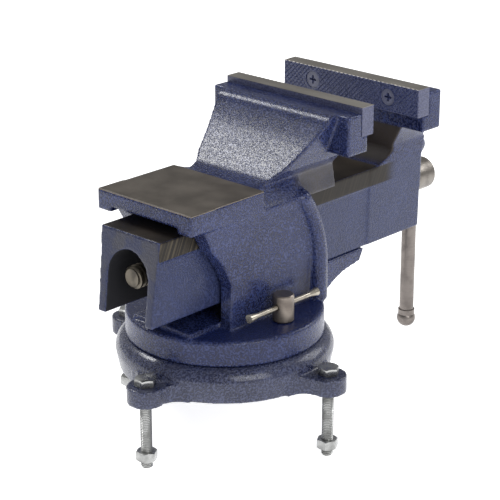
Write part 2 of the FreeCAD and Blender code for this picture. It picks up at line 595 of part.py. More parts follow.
# ---- jaw plates and screws ------------------------------------------------
def jaw_plate(face, direction):
    """A hardened plate with two countersunk holes; direction points into the jaw."""
    back = face + direction * PLATE_THICK
    plate = box(-JAW_WIDTH / 2, JAW_WIDTH / 2, min(face, back), max(face, back), PLATE_BOTTOM, PLATE_TOP)
    height = (PLATE_BOTTOM + PLATE_TOP) / 2
    for side in (-1, 1):
        centre = V(side * JAW_SCREW_SPACING / 2, face, height)
        into = V(0, direction, 0)
        plate = plate.cut(Part.makeCylinder(JAW_SCREW_RADIUS + GAP, PLATE_THICK, centre, into))
        plate = plate.cut(Part.makeCylinder(JAW_SCREW_HEAD_RADIUS + GAP, JAW_SCREW_SUNK, centre, into))
        cone_start = centre + into * JAW_SCREW_SUNK
        plate = plate.cut(Part.makeCone(JAW_SCREW_HEAD_RADIUS + GAP, JAW_SCREW_RADIUS + GAP,
                                        JAW_SCREW_HEAD_HEIGHT, cone_start, into))
    return plate


def jaw_screws(face, direction):
    """Two countersunk screws with a cross recess."""
    height = (PLATE_BOTTOM + PLATE_TOP) / 2
    into = V(0, direction, 0)
    screws = []
    for side in (-1, 1):
        centre = V(side * JAW_SCREW_SPACING / 2, face + direction * JAW_SCREW_SUNK, height)
        head = Part.makeCone(JAW_SCREW_HEAD_RADIUS, JAW_SCREW_RADIUS, JAW_SCREW_HEAD_HEIGHT, centre, into)
        shank = Part.makeCylinder(JAW_SCREW_RADIUS, JAW_SCREW_LENGTH - 1, centre + into, into)
        screws.append(head.fuse(shank).removeSplitter().cut(cross_recess(centre)))
    return Part.makeCompound(screws)


def cross_recess(centre):
    """Two crossed slots, driven by a cross-point screwdriver."""
    reach, half, depth = 3.2, 0.7, 1.8
    across = box(centre.x - reach, centre.x + reach, centre.y - depth, centre.y + depth,
                 centre.z - half, centre.z + half)
    upright = box(centre.x - half, centre.x + half, centre.y - depth, centre.y + depth,
                  centre.z - reach, centre.z + reach)
    return across.fuse(upright)


# ---- moving jaw -----------------------------------------------------------
def slide_section():
    """The slide's outer section, machined rails over drafted sides."""
    rail_foot = SLIDE_TOP - RAIL_DEPTH
    half = [(SLIDE_FOOT_HALF_WIDTH, SLIDE_BOTTOM), (SLIDE_HALF_WIDTH - RAIL_PROUD, rail_foot),
            (SLIDE_HALF_WIDTH, rail_foot), (SLIDE_HALF_WIDTH, SLIDE_TOP)]
    return mirrored_outline(half)


def slide_hollow():
    """The arched hollow that the screw and its nut lie in, open below and behind."""
    half = SLIDE_HOLLOW_HALF_WIDTH
    spring_line = SLIDE_BOTTOM + SLIDE_HOLLOW_RISE - half
    crown = ((0, spring_line + half), (-half, spring_line))
    return seen_from_front([(half, SLIDE_BOTTOM - 1), (half, spring_line), crown, (-half, SLIDE_BOTTOM - 1)],
                           WALL_INNER, SLIDE_REAR + SLIDE_REAR_LEAN + 1)


def slide():
    """The bar with the leaning rear end."""
    bar = seen_from_front(slide_section(), NECK_FRONT, SLIDE_REAR + SLIDE_REAR_LEAN + 1)
    side = seen_from_side([(NECK_FRONT, SLIDE_BOTTOM - 1), (SLIDE_REAR + SLIDE_REAR_LEAN, SLIDE_BOTTOM - 1),
                           (SLIDE_REAR, SLIDE_TOP + 0.01), (NECK_FRONT, SLIDE_TOP + 0.01)], 40)
    return bar.common(side)


def neck():
    """The moving jaw's neck, which widens up to the jaw head."""
    toe_end = REAR_WALL_OF_NECK + NECK_TOE_REACH
    toe_radius = (NECK_TOE_REACH ** 2 + NECK_TOE_RISE ** 2) / (2 * NECK_TOE_RISE)
    half_turn = math.atan(NECK_TOE_RISE / NECK_TOE_REACH)
    toe_middle = (toe_end - toe_radius * math.sin(half_turn), SLIDE_TOP + toe_radius * (1 - math.cos(half_turn)))
    side = seen_from_side([
        (NECK_FRONT, SLIDE_BOTTOM), (toe_end, SLIDE_BOTTOM), (toe_end, SLIDE_TOP), (toe_middle, (REAR_WALL_OF_NECK, SLIDE_TOP + NECK_TOE_RISE)), (MOVING_JAW_REAR, HEAD_BOTTOM), (MOVING_JAW_REAR, PLATE_BOTTOM),
        (MOVING_PLATE_FRONT, PLATE_BOTTOM), (MOVING_PLATE_FRONT, HEAD_TOP),
        (MOVING_HEAD_FRONT + 2, HEAD_TOP), (MOVING_HEAD_FRONT - 5, HEAD_TOP - 8),
        ((MOVING_HEAD_FRONT - 12, HEAD_BOTTOM + 1), (NECK_FRONT, SLIDE_TOP + 12))],
        WEB_HALF_WIDTH_TOP + 5)
    front = seen_from_front(mirrored_outline([
        (SLIDE_FOOT_HALF_WIDTH + 0.5, SLIDE_BOTTOM), (SLIDE_HALF_WIDTH + 0.5, SLIDE_TOP),
        (SLIDE_HALF_WIDTH + 3, SLIDE_TOP + 14), (WEB_HALF_WIDTH_TOP - 7, HEAD_BOTTOM + 2),
        (WEB_HALF_WIDTH_TOP, HEAD_TOP)]), NECK_FRONT - 1, toe_end + 1)
    return side.common(front)


def moving_jaw():
    """One casting: slide, neck and moving jaw head."""
    head = jaw_head(MOVING_JAW_REAR, MOVING_PLATE_FRONT, MOVING_HEAD_FRONT)
    bead = rod_x(FRONT_BEAD_RADIUS, NECK_FRONT + 1, SLIDE_TOP + 5, -SLIDE_HALF_WIDTH, SLIDE_HALF_WIDTH)
    body = joined([slide(), neck(), bead, head]).cut(slide_hollow())
    body = body.cut(rod_y(SCREW_RADIUS + RUNNING_FIT, 0, SCREW_Z, NECK_FRONT - 10, WALL_INNER + 1))
    return body.cut(screw_holes(MOVING_PLATE_FRONT + 1, -1)).removeSplitter()


# ---- lead screw, nut and handle -------------------------------------------
def lead_screw():
    """Head with the handle's hole, plain journal and threaded bar, in one piece."""
    head = rod_y(SCREW_HEAD_RADIUS, 0, SCREW_Z, HEAD_OUTER, HEAD_INNER)
    rims = [e for e in head.Edges if isinstance(e.Curve, Part.Circle)]
    head = head.makeFillet(SCREW_HEAD_ROUND, rims)
    bar = rod_y(SCREW_RADIUS, 0, SCREW_Z, HEAD_INNER - 1, SCREW_END)
    far_rim = [e for e in bar.Edges if isinstance(e.Curve, Part.Circle)
               and e.Vertexes[0].Point.y > SCREW_END - 0.01]
    bar = bar.makeChamfer(SCREW_END_CHAMFER, far_rim)
    screw = head.fuse(bar).removeSplitter()
    screw = screw.cut(rod_z(HANDLE_RADIUS + RUNNING_FIT, 0, HANDLE_Y, SCREW_Z - 20, SCREW_Z + 20))
    return screw.cut(rod_x(SPLIT_PIN_RADIUS + THREAD_FIT, PIN_Y, SCREW_Z, -20, 20))


def ring_y(outer, inner, y0, y1):
    """A washer about the screw axis."""
    return rod_y(outer, 0, SCREW_Z, y0, y1).cut(rod_y(inner, 0, SCREW_Z, y0 - 1, y1 + 1))


def thrust_washer():
    return ring_y(THRUST_WASHER_RADIUS, SCREW_RADIUS + RUNNING_FIT, HEAD_INNER, HEAD_INNER + THRUST_WASHER_THICK)


def retaining_washers():
    front = ring_y(RETAINER_RADIUS, SCREW_RADIUS + RUNNING_FIT, INNER_WASHER_Y, SPRING_START)
    rear = ring_y(RETAINER_RADIUS, SCREW_RADIUS + RUNNING_FIT, SPRING_END, SPRING_END + RETAINER_THICK)
    return Part.makeCompound([front, rear])


def retaining_spring():
    """A short compression spring that holds the jaw against the screw's head.

    Its wire is bent in half turns, tilted to and fro so that each runs into the next.
    """
    rise = (SPRING_LENGTH - 2 * SPRING_WIRE_RADIUS - 2 * SPRING_END_PLAY) / (2 * SPRING_TURNS)
    tilt = math.degrees(math.atan2(rise / 2, SPRING_MEAN_RADIUS))
    bend_radius = math.hypot(rise / 2, SPRING_MEAN_RADIUS)
    halves = []
    for k in range(2 * SPRING_TURNS):
        half = Part.makeTorus(bend_radius, SPRING_WIRE_RADIUS, V(0, 0, 0), V(0, 0, 1), -180, 180, 180)
        half.rotate(V(0, 0, 0), V(0, 1, 0), tilt)
        half.rotate(V(0, 0, 0), V(0, 0, 1), 180 * k)
        half.translate(V(0, 0, rise * (k + 0.5)))
        halves.append(half)
    coil = joined(halves)
    coil.rotate(V(0, 0, 0), V(1, 0, 0), -90)
    coil.translate(V(0, SPRING_START + SPRING_WIRE_RADIUS + SPRING_END_PLAY, SCREW_Z))
    return coil


def split_pin():
    half = SPLIT_PIN_LENGTH / 2
    return rod_x(SPLIT_PIN_RADIUS, PIN_Y, SCREW_Z, -half, half)


def lead_nut():
    """A threaded barrel on a column that stands on the pad."""
    barrel = rod_y(NUT_RADIUS, 0, SCREW_Z, NUT_FRONT, NUT_REAR)
    column = box(-NUT_COLUMN_HALF_WIDTH, NUT_COLUMN_HALF_WIDTH, NUT_FRONT, NUT_REAR, PAD_TOP, SCREW_Z)
    nut = barrel.fuse(column).removeSplitter()
    nut = nut.cut(rod_y(SCREW_RADIUS + RUNNING_FIT, 0, SCREW_Z, NUT_FRONT - 1, NUT_REAR + 1))
    return nut.cut(rod_z(NUT_BOLT_RADIUS + THREAD_FIT, 0, NUT_BOLT_Y, PAD_TOP - 1, PAD_TOP + NUT_BOLT_GRIP + 2))


def lead_nut_bolt():
    """Holds the lead nut down from under the disc."""
    seat = DISC_BOTTOM + NUT_BOLT_HEAD_HEIGHT + 1
    head = hexagon(NUT_BOLT_HEAD_FLATS, NUT_BOLT_HEAD_HEIGHT, 0, NUT_BOLT_Y, seat - NUT_BOLT_HEAD_HEIGHT,
                   both_ends=True)
    shank = rod_z(NUT_BOLT_RADIUS, 0, NUT_BOLT_Y, seat - 1, PAD_TOP + NUT_BOLT_GRIP)
    return head.fuse(shank).removeSplitter()


def handle_bar():
    """The sliding handle, hanging from its upper knob."""
    return rod_z(HANDLE_RADIUS, 0, HANDLE_Y, LOWER_KNOB_Z, UPPER_KNOB_Z)


def handle_knob(centre_z, towards_bar):
    """A rounded end knob with a short collar, pressed on the bar's end."""
    ball = Part.makeSphere(HANDLE_KNOB_RADIUS, V(0, HANDLE_Y, centre_z))
    start = V(0, HANDLE_Y, centre_z)
    collar = Part.makeCylinder(HANDLE_COLLAR_RADIUS, KNOB_REACH, start, V(0, 0, towards_bar))
    knob = ball.fuse(collar).removeSplitter()
    return knob.cut(Part.makeCylinder(HANDLE_RADIUS, KNOB_REACH + 1, start, V(0, 0, towards_bar)))


# ---- export ---------------------------------------------------------------
def all_nodes():
    left_bolt, right_bolt = both_sides(lock_bolt)
    left_bar, right_bar = both_sides(lock_bar)
    left_nut, right_nut = both_sides(lock_nut)
    return {
        "base_plate": base_plate(),
        "mounting_bolts": mounting_bolts(),
        "mounting_nuts": mounting_nuts(),
        "fixed_body": fixed_body(),
        "fixed_jaw_plate": jaw_plate(FIXED_FACE, 1),
        "fixed_jaw_screws": jaw_screws(FIXED_FACE, 1),
        "lead_nut": lead_nut(),
        "lead_nut_bolt": lead_nut_bolt(),
        "lock_bolt_left": left_bolt,
        "lock_bolt_right": right_bolt,
        "lock_bar_left": left_bar,
        "lock_bar_right": right_bar,
        "lock_nut_left": left_nut,
        "lock_nut_right": right_nut,
        "moving_jaw": moving_jaw(),
        "moving_jaw_plate": jaw_plate(MOVING_FACE, -1),
        "moving_jaw_screws": jaw_screws(MOVING_FACE, -1),
        "lead_screw": lead_screw(),
        "thrust_washer": thrust_washer(),
        "retaining_washers": retaining_washers(),
        "retaining_spring": retaining_spring(),
        "split_pin": split_pin(),
        "handle_bar": handle_bar(),
        "handle_knob_upper": handle_knob(UPPER_KNOB_Z, -1),
        "handle_knob_lower": handle_knob(LOWER_KNOB_Z, 1),
    }


def main():
    os.makedirs("parts", exist_ok=True)
    for name, shape in all_nodes().items():
        if not shape.isValid():
            raise ValueError(name + " is not a valid solid")
        shape.exportStep("parts/" + name + ".step")
        print(name, len(shape.Solids), round(shape.Volume / 1000, 2), "cm3")


main()
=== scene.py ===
# %% [markdown]
# # A bench vise on a swivel base
# Three painted castings do the work: a round base that is bolted to the bench, a body that swivels on
# it and carries the anvil and the fixed jaw, and a moving jaw whose slide runs through the body.
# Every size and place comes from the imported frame, so the first step is to load it and keep its box.

# %% Load the frame
import json
import math

import bmesh
import bpy
import numpy as np
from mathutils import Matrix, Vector


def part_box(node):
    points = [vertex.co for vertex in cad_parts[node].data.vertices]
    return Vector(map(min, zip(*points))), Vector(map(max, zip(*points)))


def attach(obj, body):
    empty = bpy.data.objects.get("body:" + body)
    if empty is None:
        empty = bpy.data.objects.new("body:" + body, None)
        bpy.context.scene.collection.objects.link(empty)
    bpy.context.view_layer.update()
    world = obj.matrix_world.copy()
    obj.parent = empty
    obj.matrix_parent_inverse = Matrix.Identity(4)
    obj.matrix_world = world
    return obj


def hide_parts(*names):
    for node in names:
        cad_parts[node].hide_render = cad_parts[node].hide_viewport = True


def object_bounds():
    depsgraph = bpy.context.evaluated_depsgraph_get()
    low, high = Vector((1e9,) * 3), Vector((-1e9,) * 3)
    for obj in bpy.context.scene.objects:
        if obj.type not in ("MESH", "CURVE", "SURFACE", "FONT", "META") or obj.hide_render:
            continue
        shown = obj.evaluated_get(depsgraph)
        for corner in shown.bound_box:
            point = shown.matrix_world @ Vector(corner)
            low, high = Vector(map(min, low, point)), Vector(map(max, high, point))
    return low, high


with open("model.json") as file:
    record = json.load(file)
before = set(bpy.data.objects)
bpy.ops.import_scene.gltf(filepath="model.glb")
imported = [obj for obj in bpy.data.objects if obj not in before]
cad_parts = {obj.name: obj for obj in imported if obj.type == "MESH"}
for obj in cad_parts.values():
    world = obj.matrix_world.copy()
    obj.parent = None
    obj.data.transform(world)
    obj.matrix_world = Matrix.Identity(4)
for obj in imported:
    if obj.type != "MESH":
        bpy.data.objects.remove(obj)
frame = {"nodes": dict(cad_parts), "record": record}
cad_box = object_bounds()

MM = 0.001
print("frame box in mm", [[round(v / MM, 1) for v in corner] for corner in cad_box])

# %% [markdown]
# ## Where things are
# The anvil's face is one of the part's mounts, and the jaw plates are nodes of their own. The other
# heights of the castings are given from those, so that a finish can tell a machined face from a
# painted one.

# %% Heights and places that the finishes need
def mount_place(name):
    """The point of a named mount."""
    return Vector(next(m["pos_m"] for m in frame["record"]["mounts"] if m["name"] == name))


ANVIL_TOP = mount_place("anvil_face").z
ANVIL_FRONT = 5.7 * MM               # painted deck in front of this, machined face behind it
SLIDE_TOP = ANVIL_TOP - 18.6 * MM
SLIDE_HALF = 27.4 * MM
RAIL_DEPTH = 13.0 * MM
HOLLOW_HALF = 18.4 * MM
HOLLOW_SPRING = SLIDE_TOP - 29.6 * MM
DISC_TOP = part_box("lock_bolt_left")[1].z - 19.3 * MM
PLATE_LOW, PLATE_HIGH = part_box("moving_jaw_plate")
SCREW_AXIS_Z = sum(corner.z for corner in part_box("thrust_washer")) / 2
print("anvil top", round(ANVIL_TOP, 4), "disc top", round(DISC_TOP, 4), "screw axis", round(SCREW_AXIS_Z, 4))

# %% [markdown]
# ## Camera
# A long lens from behind and above the anvil, so that the anvil, the back of the fixed jaw, the slide's
# end and the swivel lock are all in view. It is aimed by two angles rather than by a target object,
# because two numbers are easier to read and to change.

# %% Set the camera
EYE = Vector((-0.80208, 0.83512, 0.51353))
LOOK_AZIMUTH = math.radians(222.98)
LOOK_DOWN = math.radians(20.465)
LENS_MM = 130.2

camera = bpy.data.objects.new("camera", bpy.data.cameras.new("camera"))
camera.data.lens = LENS_MM
camera.location = EYE
camera.rotation_euler = (math.radians(90) - LOOK_DOWN, 0.0, LOOK_AZIMUTH)
bpy.context.collection.objects.link(camera)
bpy.context.scene.camera = camera
print("camera is", round(EYE.length, 3), "m from the swivel axis")

# %% [markdown]
# ## Light and floor
# Glossy paint shows what stands around it, so the light is a white tent: an even pale world, one
# wide lamp at the camera's side, and one on the far side that the back of the fixed jaw mirrors. The
# floor glows a little, which keeps shadows faint as on a photographer's light table.

# %% Build the tent
WORLD_LIGHT = 0.34
LAMPS = {
    # name: (place, aimed at, size in m, power in W)
    "side_lamp": ((-1.5, 0.5, 0.9), (0, 0, 0.05), 1.1, 16),
    "far_lamp": ((1.35, 0.15, 1.65), (0, -0.05, 0.15), 0.7, 22),
    "jaw_end_lamp": ((-0.6, -1.6, 1.0), (0, -0.1, 0.1), 0.9, 10),
}


def add_lamp(name, place, target, size, power):
    """A square soft lamp that looks at a point."""
    data = bpy.data.lights.new(name, "AREA")
    data.size = size
    data.energy = power
    lamp = bpy.data.objects.new(name, data)
    lamp.location = place
    lamp.rotation_euler = (Vector(target) - Vector(place)).to_track_quat("-Z", "Y").to_euler()
    bpy.context.collection.objects.link(lamp)


def build_world():
    """Pale all round."""
    world = bpy.data.worlds.new("tent")
    world.use_nodes = True
    background = world.node_tree.nodes["Background"]
    background.inputs["Color"].default_value = (1.0, 1.0, 1.0, 1.0)
    background.inputs["Strength"].default_value = WORLD_LIGHT
    bpy.context.scene.world = world


build_world()
for lamp_name, settings in LAMPS.items():
    add_lamp(lamp_name, *settings)
bpy.context.scene.view_settings.view_transform = "Standard"
print(len(LAMPS), "lamps")

# %% [markdown]
# ## Sums on sockets
# A finish is mostly arithmetic: where is this point, how far from that edge, how much of this noise.
# Nodes can be wired one by one, or drawn in the editor, but neither reads like the sum it makes. So
# one small class wraps a socket and lets Python's own operators add the Math nodes, and a second
# class holds a material and adds every other node through a single method.

# %% The Wire and Finish classes
class Wire:
    """An output socket that can be used in sums."""

    def __init__(self, finish, socket):
        self.finish, self.socket = finish, socket

    def math(self, operation, *values):
        inputs = dict(enumerate((self,) + values))
        return self.finish.node("ShaderNodeMath", {"operation": operation}, inputs)

    def __add__(self, other):
        return self.math("ADD", other)

    def __sub__(self, other):
        return self.math("SUBTRACT", other)

    def __rsub__(self, other):
        return self.math("MULTIPLY", -1.0) + other

    def __mul__(self, other):
        return self.math("MULTIPLY", other)

    __radd__, __rmul__ = __add__, __mul__

    def abs(self):
        return self.math("ABSOLUTE")

    def least(self, other):
        return self.math("MINIMUM", other)

    def most(self, other):
        return self.math("MAXIMUM", other)

    def rise(self, low, high):
        """0 below low, 1 above high, and smooth between them; high below low turns it round."""
        settings = {"interpolation_type": "SMOOTHSTEP", "clamp": True}
        ends = {"Value": self, "From Min": low, "From Max": high, "To Min": 0.0, "To Max": 1.0}
        if high < low:
            ends.update({"From Min": high, "From Max": low, "To Min": 1.0, "To Max": 0.0})
        return self.finish.node("ShaderNodeMapRange", settings, ends)

    def between(self, low, high, soft):
        """1 between low and high, with soft ends."""
        return self.rise(low - soft, low + soft) * self.rise(high + soft, high - soft)


class Finish:
    """A material with one main shader, built from Wires."""

    def __init__(self, name):
        self.material = bpy.data.materials.new(name)
        self.material.use_nodes = True
        self.tree = self.material.node_tree
        self.shader = self.tree.nodes["Principled BSDF"]
        self.spot = self.node("ShaderNodeTexCoord", out="Object")
        facing = self.node("ShaderNodeTexCoord", out="Normal")
        self.x, self.y, self.z = self.parts(self.spot)
        self.facing_x, self.facing_y, self.facing_z = self.parts(facing)

    def node(self, kind, settings=None, inputs=None, out=0):
        """Adds a node: its settings first, then the values or wires of its inputs."""
        made = self.tree.nodes.new(kind)
        for key, value in (settings or {}).items():
            setattr(made, key, value)
        for key, value in (inputs or {}).items():
            self.feed(made.inputs[key], value)
        return Wire(self, made.outputs[out])

    def feed(self, socket, value):
        if isinstance(value, Wire):
            self.tree.links.new(value.socket, socket)
        else:
            socket.default_value = value

    def parts(self, vector):
        """The three numbers of a vector."""
        split = self.node("ShaderNodeSeparateXYZ", inputs={0: vector}).socket.node
        return [Wire(self, output) for output in split.outputs]

    def noise(self, size, detail=2.0, stretch=(1, 1, 1), seed=0.0):
        """Cloudy noise whose lumps are about size across, longer where stretch is under 1."""
        scale = {0: self.spot, 1: tuple(s / size for s in stretch), 2: (seed, seed, seed)}
        at = self.node("ShaderNodeVectorMath", {"operation": "MULTIPLY_ADD"}, scale)
        return self.node("ShaderNodeTexNoise", {}, {"Vector": at, "Scale": 1.0, "Detail": detail})

    def mix(self, mask, colour_off, colour_on):
        """One colour where the mask is 0, and the other where it is 1."""
        colours = {0: mask, 6: rgba(colour_off), 7: rgba(colour_on)}
        return self.node("ShaderNodeMix", {"data_type": "RGBA"}, colours, out=2)

    def bump(self, height, distance, under=None):
        """A bump that stands distance high where height is 1."""
        inputs = {"Height": height, "Distance": distance, "Strength": 1.0}
        if under:
            inputs["Normal"] = under
        return self.node("ShaderNodeBump", {}, inputs)

    def shade(self, **values):
        """Feeds the main shader; underscores in names stand for spaces."""
        for key, value in values.items():
            self.feed(self.shader.inputs[key.replace("_", " ")], rgba(value))
        return self.material


def rgba(colour):
    """Adds the fourth number that a colour socket wants."""
    return (*colour, 1.0) if isinstance(colour, tuple) and len(colour) == 3 else colour


print("sums on sockets are ready")

# %% [markdown]
# ## Hammered paint
# The castings are sprayed with hammer-effect enamel, which hides sand marks. As it dries it draws up
# into a net of tiny dimples about a millimetre wide: the dimples stay dark and the ridges go paler.
# An image could carry that, but noise in the object's own space has no seams and rides with its body.

# %% Paint, bare iron and how they meet
DEEP_BLUE = (0.0020, 0.0045, 0.034)
RIDGE_BLUE = (0.028, 0.042, 0.135)
# near-black painted shade for the insides of the body's channel and the slide's hollow
HOLLOW_SHADE_BLACK = (0.010, 0.010, 0.013)
DIMPLE = 1.25 * MM
DIMPLE_DEPTH = 0.26 * MM


def hammered(finish, deep=DEEP_BLUE, ridge=RIDGE_BLUE):
    """The colour of the paint, and its height from 0 in a dimple to 1 on a ridge."""
    height = finish.noise(DIMPLE, 1.0).rise(0.42, 0.60)
    cloud = finish.noise(28 * MM, 3.0, seed=7.0).rise(0.3, 0.7)
    tone = height * 0.75 + cloud * 0.25
    return finish.mix(tone, deep, ridge), height


# Lighter paint at sharp edges: partly worn thin paint, partly a painted edge highlight.
def edge_wear_and_highlight(finish):
    """1 where a casting's edge sticks out, from how sharply its surface turns."""
    turn = finish.node("ShaderNodeNewGeometry", out="Pointiness")
    return turn.rise(0.53, 0.60)


def bare_iron(finish, dark, light, size=9 * MM, stretch=(1, 1, 1)):
    """Mottled bare cast iron with fine machining marks."""
    mottle = finish.noise(size, 5.0, stretch, seed=3.0).rise(0.3, 0.72)
    grain = finish.noise(0.9 * MM, 2.0, seed=11.0)
    return finish.mix(mottle * 0.75 + grain * 0.25, dark, light)


print("dimples are", DIMPLE / MM, "mm wide")

# %% [markdown]
# ## Finish of the swivelling body
# After painting, the anvil's face is ground bare, so the paint stops at its edges in a thin line. The jaw's web
# turns brown-grey where the slide's rail runs out, and the channel for the slide is bare iron, painted near-black
# as shade. Four masks, each a product of smooth steps, pick those places out, and a fifth lays painted shade on
# the up-facing faces at the disc's height.

# %% The swivelling body's material
def body_finish():
    finish = Finish("body_hammered_blue")
    paint, height = hammered(finish)
    wobble = (finish.noise(6 * MM, 3.0, seed=5.0) - 0.5) * (1.2 * MM)
    ground = (finish.z + wobble * 0.15).rise(ANVIL_TOP - 0.42 * MM, ANVIL_TOP - 0.22 * MM)
    ground = ground * (finish.y + wobble).rise(ANVIL_FRONT - 0.4 * MM, ANVIL_FRONT + 0.4 * MM)
    ground = ground * finish.z.rise(ANVIL_TOP + 1.2 * MM, ANVIL_TOP + 0.8 * MM)
    rim = (finish.z + wobble * 0.15).between(ANVIL_TOP - 0.75 * MM, ANVIL_TOP - 0.40 * MM, 0.12 * MM)
    rim = rim * finish.y.rise(ANVIL_FRONT - 0.5 * MM, ANVIL_FRONT + 1 * MM)
    # a brown-grey patch on the web's sides, fading into the paint towards the anvil and upwards
    side = finish.x.abs().between(30 * MM, 38 * MM, 1.5 * MM)
    reach = (finish.y + wobble * 6).rise(-26 * MM, -44 * MM)
    flank = side * reach * (finish.z + wobble * 4).rise(ANVIL_TOP + 5 * MM, ANVIL_TOP - 3 * MM)
    inside = finish.x.abs().rise(28.6 * MM, 28.0 * MM)
    inside = inside * finish.z.rise(ANVIL_TOP - 17.6 * MM, ANVIL_TOP - 18 * MM)
    inside = inside * finish.z.rise(DISC_TOP + 3.6 * MM, DISC_TOP + 5 * MM)
    inside = inside * finish.y.rise(-56 * MM, -54 * MM)
    iron = bare_iron(finish, (0.052, 0.043, 0.034), (0.125, 0.108, 0.090), 22 * MM)
    brown_grey_web_patch = bare_iron(finish, (0.032, 0.028, 0.026), (0.085, 0.076, 0.062), 12 * MM, (1, 0.4, 1))
    # painted shade: up-facing faces at the disc's height are made darker navy
    disc_top_shade = finish.facing_z.rise(0.75, 0.98) * finish.z.rise(DISC_TOP + 1.2 * MM, DISC_TOP + 0.4 * MM)
    # painted edge highlight with worn paint: sharp edges go lighter blue
    colour = finish.mix(edge_wear_and_highlight(finish) * 0.45, paint, (0.080, 0.095, 0.23))
    colour = finish.mix(disc_top_shade * 0.55, colour, (0.006, 0.013, 0.075))
    colour = finish.mix(flank * 0.72, colour, brown_grey_web_patch)
    # painted shade: the inside of the slide's channel is made near-black
    colour = finish.mix(inside * 0.92, colour, HOLLOW_SHADE_BLACK)
    colour = finish.mix(rim, colour, (0.23, 0.19, 0.135))
    colour = finish.mix(ground, colour, iron)
    bare = ground.most(flank * 0.8).most(inside)
    marks = finish.noise(0.5 * MM, 2.0, (0.12, 1, 1), seed=2.0)
    normal = finish.bump(height * (1 - bare), DIMPLE_DEPTH)
    normal = finish.bump(marks * bare, 0.02 * MM, normal)
    return finish.shade(Base_Color=colour, Roughness=bare * 0.22 + 0.27, Metallic=ground * 0.35,
                        Normal=normal, Coat_Weight=(1 - bare) * 0.12, Coat_Roughness=0.12,
                        Specular_IOR_Level=0.42)


print("made", body_finish.__name__)

# %% [markdown]
# ## Finish of the moving jaw
# The slide is the most worked surface. Its top and the two rails along its upper edges are planed and oiled: the
# rails are brown with slanting tool streaks, and the top is painted dark, for oiled iron and for the shade
# between the jaws. Its end is only thinly painted, its hollow is unpainted casting painted near-black as shade,
# and the throat below the jaw is bare iron painted dark as the shade between the jaws.

# %% The moving jaw's material
def moving_jaw_finish():
    finish = Finish("moving_jaw_hammered_blue")
    paint, height = hammered(finish)
    low_slide = finish.z.rise(SLIDE_TOP + 1 * MM, SLIDE_TOP - 2 * MM)
    thin = finish.mix(low_slide * 0.40, paint, (0.045, 0.055, 0.110))
    free = finish.y.rise(PLATE_LOW.y - 12 * MM, PLATE_LOW.y + 4 * MM)
    top = finish.z.between(SLIDE_TOP - 1 * MM, SLIDE_TOP + 1 * MM, 0.2 * MM)
    top = finish.facing_z.rise(0.8, 0.95) * top * free
    rail = finish.x.abs().rise(SLIDE_HALF - 0.45 * MM, SLIDE_HALF - 0.30 * MM)
    rail = rail * finish.z.rise(SLIDE_TOP - RAIL_DEPTH - 0.2 * MM, SLIDE_TOP - RAIL_DEPTH + 0.4 * MM)
    rail = rail * finish.z.rise(SLIDE_TOP + 0.6 * MM, SLIDE_TOP) * free
    slant = finish.y + finish.z * 0.45
    streak = finish.node("ShaderNodeTexNoise", {"noise_dimensions": "1D"},
                         {"W": slant * (1 / (2.4 * MM)), "Scale": 1.0, "Detail": 2.5}).rise(0.42, 0.68)
    streak = streak * (finish.y.rise(-30 * MM, 40 * MM) * 0.8 + 0.2)
    throat = finish.z.between(SLIDE_TOP + 1 * MM, ANVIL_TOP + 13 * MM, 1 * MM)
    throat = finish.facing_y.rise(0.15, 0.5) * throat
    throat = throat * finish.y.rise(PLATE_HIGH.y + 20 * MM, PLATE_HIGH.y + 9 * MM)
    pocket = (finish.z - HOLLOW_SPRING).most(0.0)
    from_middle = (finish.x * finish.x + pocket * pocket).math("SQRT")
    hollow = from_middle.rise(HOLLOW_HALF + 0.5 * MM, HOLLOW_HALF + 0.1 * MM)
    hollow = hollow * finish.z.rise(SLIDE_TOP, SLIDE_TOP - 2 * MM)
    hollow = hollow * finish.y.rise(PLATE_LOW.y - 26 * MM, PLATE_LOW.y - 24 * MM)
    end = finish.facing_y.rise(0.8, 0.97) * finish.y.rise(60 * MM, 70 * MM)
    patch = finish.noise(14 * MM, 4.0, seed=9.0).rise(0.46, 0.62)
    # dark iron for the oiled slide top and throat, dark also as painted shade between the jaws
    oiled_iron_and_shade = bare_iron(finish, (0.012, 0.010, 0.009), (0.045, 0.036, 0.028), 26 * MM)
    planed = finish.mix(streak, (0.022, 0.019, 0.017), (0.075, 0.062, 0.044))
    # painted edge highlight with worn paint: sharp edges go lighter blue
    colour = finish.mix(edge_wear_and_highlight(finish) * 0.5, thin, (0.085, 0.10, 0.22))
    colour = finish.mix(end * 0.75, colour, finish.mix(patch, (0.020, 0.025, 0.062), (0.042, 0.041, 0.050)))
    # painted shade: the throat between the jaws is made nearly black-brown
    colour = finish.mix(throat * 0.93, colour, oiled_iron_and_shade)
    colour = finish.mix(rail, colour, planed)
    colour = finish.mix(top, colour, oiled_iron_and_shade)
    # painted shade: the slide's hollow is made near-black
    colour = finish.mix(hollow, colour, HOLLOW_SHADE_BLACK)
    bare = top.most(rail).most(throat).most(hollow)
    normal = finish.bump(height * (1 - bare) * (1 - end * 0.7), DIMPLE_DEPTH)
    normal = finish.bump(streak * rail, 0.03 * MM, normal)
    return finish.shade(Base_Color=colour, Roughness=bare * 0.20 + hollow * 0.3 + 0.28,
                        Metallic=rail * 0.4 + top * 0.2, Normal=normal,
                        Coat_Weight=(1 - bare) * 0.08, Coat_Roughness=0.14, Specular_IOR_Level=0.30)


print("made", moving_jaw_finish.__name__)

# %% [markdown]
# ## Finish of the base
# The base was dipped rather than sprayed: its coat is darker and greyer, and dust lightens the flange's upper
# face.

